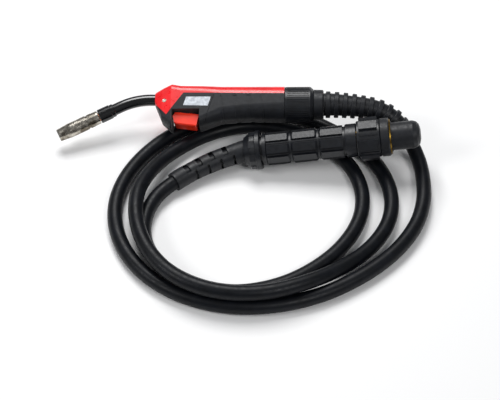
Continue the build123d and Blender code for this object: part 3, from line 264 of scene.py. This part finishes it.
gloss_phenolic, tree, shader, place = start_finish("glossy_black_phenolic", 0.18)
colour = mottle(tree, place, 10 * MM, paint("050607"), paint("0A0B0D"))
tree.links.new(colour.outputs["Color"], shader.inputs["Base Color"])
shader.inputs["Coat Weight"].default_value = 0.5
shader.inputs["Coat Roughness"].default_value = 0.08
grain(tree, place, shader, 2 * MM, 0.02 * MM, 0.3)
print("black finishes", grip_rubber.name, jacket_rubber.name, satin_nylon.name, gloss_phenolic.name)

# %% [markdown]
# The nozzle is brass with a bright nickel plate, so its colour is a warm silver. Use leaves it
# smoked and tinted near the mouth, and turning leaves faint rings. The rings follow the nozzle's own
# axis, which leans, so a Mapping node turns the pattern into line with it first.

# %% the nozzle's axis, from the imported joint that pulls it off
nozzle_joint = next(joint for joint in frame["joints"] if joint["name"] == "nozzle_slide")
NOZZLE_AXIS = Vector(nozzle_joint["axis"]).normalized()
nozzle_turn = NOZZLE_AXIS.rotation_difference(Vector((-1, 0, 0))).to_euler()
print("nozzle axis", [round(x, 3) for x in NOZZLE_AXIS])

# %% plated and bare metals
# a wave texture repeats every pi / 10 at a scale of one
RING_SPACING = 2.763 * MM

nickel_plate, tree, shader, place = start_finish("bright_nickel_plate", 0.2, 1.0)
aligned = add_node(
    tree, "ShaderNodeMapping", {"Rotation": nozzle_turn}, {"Vector": (place, "Object")}
)
colour = mottle(tree, place, 11 * MM, paint("6F675A"), paint("D6D0C4"), 0.38, 0.62)
tree.links.new(colour.outputs["Color"], shader.inputs["Base Color"])
gloss = mottle(tree, place, 3 * MM, grey(0.14), grey(0.3))
tree.links.new(gloss.outputs["Color"], shader.inputs["Roughness"])
rings = add_node(
    tree, "ShaderNodeTexWave",
    {"Scale": pi / 10 / RING_SPACING, "Distortion": 0.6, "Detail": 2.0},
    {"Vector": (aligned, "Vector")},
    bands_direction="X",
)
relief = add_node(
    tree, "ShaderNodeBump", {"Strength": 0.25, "Distance": 0.02 * MM}, {"Height": (rings, "Fac")}
)
tree.links.new(relief.outputs["Normal"], shader.inputs["Normal"])

METALS = {
    "turned_brass": ("9C7A3C", "D2AE62", 0.3),
    "bare_copper": ("A35F3C", "D08A63", 0.32),
    "plain_steel": ("8C8D90", "B9BABD", 0.28),
    "spring_steel_wire": ("6E6F73", "97989C", 0.3),
    "golden_line": ("5E4714", "A07F32", 0.3),
}
finishes = {}
for name, (dark, light, roughness) in METALS.items():
    finishes[name], tree, shader, place = start_finish(name, roughness, 1.0)
    colour = mottle(tree, place, 4 * MM, paint(dark), paint(light))
    tree.links.new(colour.outputs["Color"], shader.inputs["Base Color"])
    grain(tree, place, shader, 0.8 * MM, 0.03 * MM, 0.4)
print("metals", [nickel_plate.name, *finishes])

# %% [markdown]
# The label is a blank satin foil under the handle's window. The switch is grey nylon and its two
# wires are blue PVC. They are small or hidden, but they show when the trigger opens or from behind.

# %% label, switch and wires
SMALL_FINISHES = {
    "satin_label_foil": ("8E9298", "B4B8BE", 0.34, 0.85),
    "grey_switch_nylon": ("33363B", "43474D", 0.45, 0.0),
    "blue_wire_pvc": ("123A7A", "1B4C99", 0.35, 0.0),
}
for name, (dark, light, roughness, metallic) in SMALL_FINISHES.items():
    finishes[name], tree, shader, place = start_finish(name, roughness, metallic)
    colour = mottle(tree, place, 5 * MM, paint(dark), paint(light))
    tree.links.new(colour.outputs["Color"], shader.inputs["Base Color"])
    grain(tree, place, shader, 1 * MM, 0.02 * MM, 0.3)
print("small finishes", list(SMALL_FINISHES))

# %% [markdown]
# The record names a slot for each piece, and each slot is one real finish. A small table joins the
# two, and then every ready-made piece and the new lead take theirs.

# %% dress the pieces
FINISH_OF_SLOT = {
    "red_plastic": red_abs,
    "trigger_red": trigger_abs,
    "black_plastic": satin_nylon,
    "gloss_black": gloss_phenolic,
    "black_rubber": grip_rubber,
    "lead_rubber": jacket_rubber,
    "nickel": nickel_plate,
    "brass": finishes["turned_brass"],
    "copper": finishes["bare_copper"],
    "steel": finishes["plain_steel"],
    "spring_steel": finishes["spring_steel_wire"],
    "silver_label": finishes["satin_label_foil"],
    "switch_grey": finishes["grey_switch_nylon"],
    "wire_insulation": finishes["blue_wire_pvc"],
    "gold_line": finishes["golden_line"],
}
slot_of_node = {piece["node"]: piece["material_slot"] for piece in frame["record"]["subparts"]}
for name, piece in nodes.items():
    for material_slot in piece.material_slots:
        material_slot.material = FINISH_OF_SLOT[slot_of_node[name]]
rubber_lead.data.materials.append(jacket_rubber)
print("dressed", len(nodes), "pieces")

# %% [markdown]
# The set is a plain pale table and three soft boxes, as in a product studio. The big one above and
# behind draws the long highlights on the black parts, and the two smaller ones fill the shadows from
# the side and the front.

# %% floor and light
FLOOR_SIZE = 8.0
WORLD_STRENGTH = 0.22
floor_mesh = bpy.data.meshes.new("floor")
floor_build = bmesh.new()
bmesh.ops.create_grid(floor_build, x_segments=1, y_segments=1, size=FLOOR_SIZE / 2)
bmesh.ops.translate(floor_build, verts=floor_build.verts, vec=(0, 0, FLOOR_Z))
floor_build.to_mesh(floor_mesh)
floor_build.free()
floor = bpy.data.objects.new("floor", floor_mesh)
bpy.context.collection.objects.link(floor)
table_white, _, shader, _ = start_finish("pale_table", 0.7)
shader.inputs["Base Color"].default_value = paint("F6F6F6")
floor.data.materials.append(table_white)

world = bpy.data.worlds.new("studio")
world.use_nodes = True
bpy.context.scene.world = world
sky = world.node_tree.nodes["Background"]
sky.inputs["Color"].default_value = paint("F4F6FA")
sky.inputs["Strength"].default_value = WORLD_STRENGTH
bpy.context.scene.view_settings.view_transform = "Standard"

# name, place, size, watts
SOFT_BOXES = [
    ("back_box", (-0.2, 0.75, 1.45), 0.9, 24),
    ("side_box", (-1.3, -0.6, 1.2), 0.6, 9),
    ("front_box", (0.9, -1.3, 1.6), 0.7, 12),
]
for name, spot, size, watts in SOFT_BOXES:
    light = bpy.data.lights.new(name, "AREA")
    light.shape = "SQUARE"
    light.size = size
    light.energy = watts
    box = bpy.data.objects.new(name, light)
    bpy.context.collection.objects.link(box)
    box.location = spot
    box.rotation_euler = (VIEW_MIDDLE - Vector(spot)).to_track_quat("-Z", "Y").to_euler()
print("lights", [box[0] for box in SOFT_BOXES])
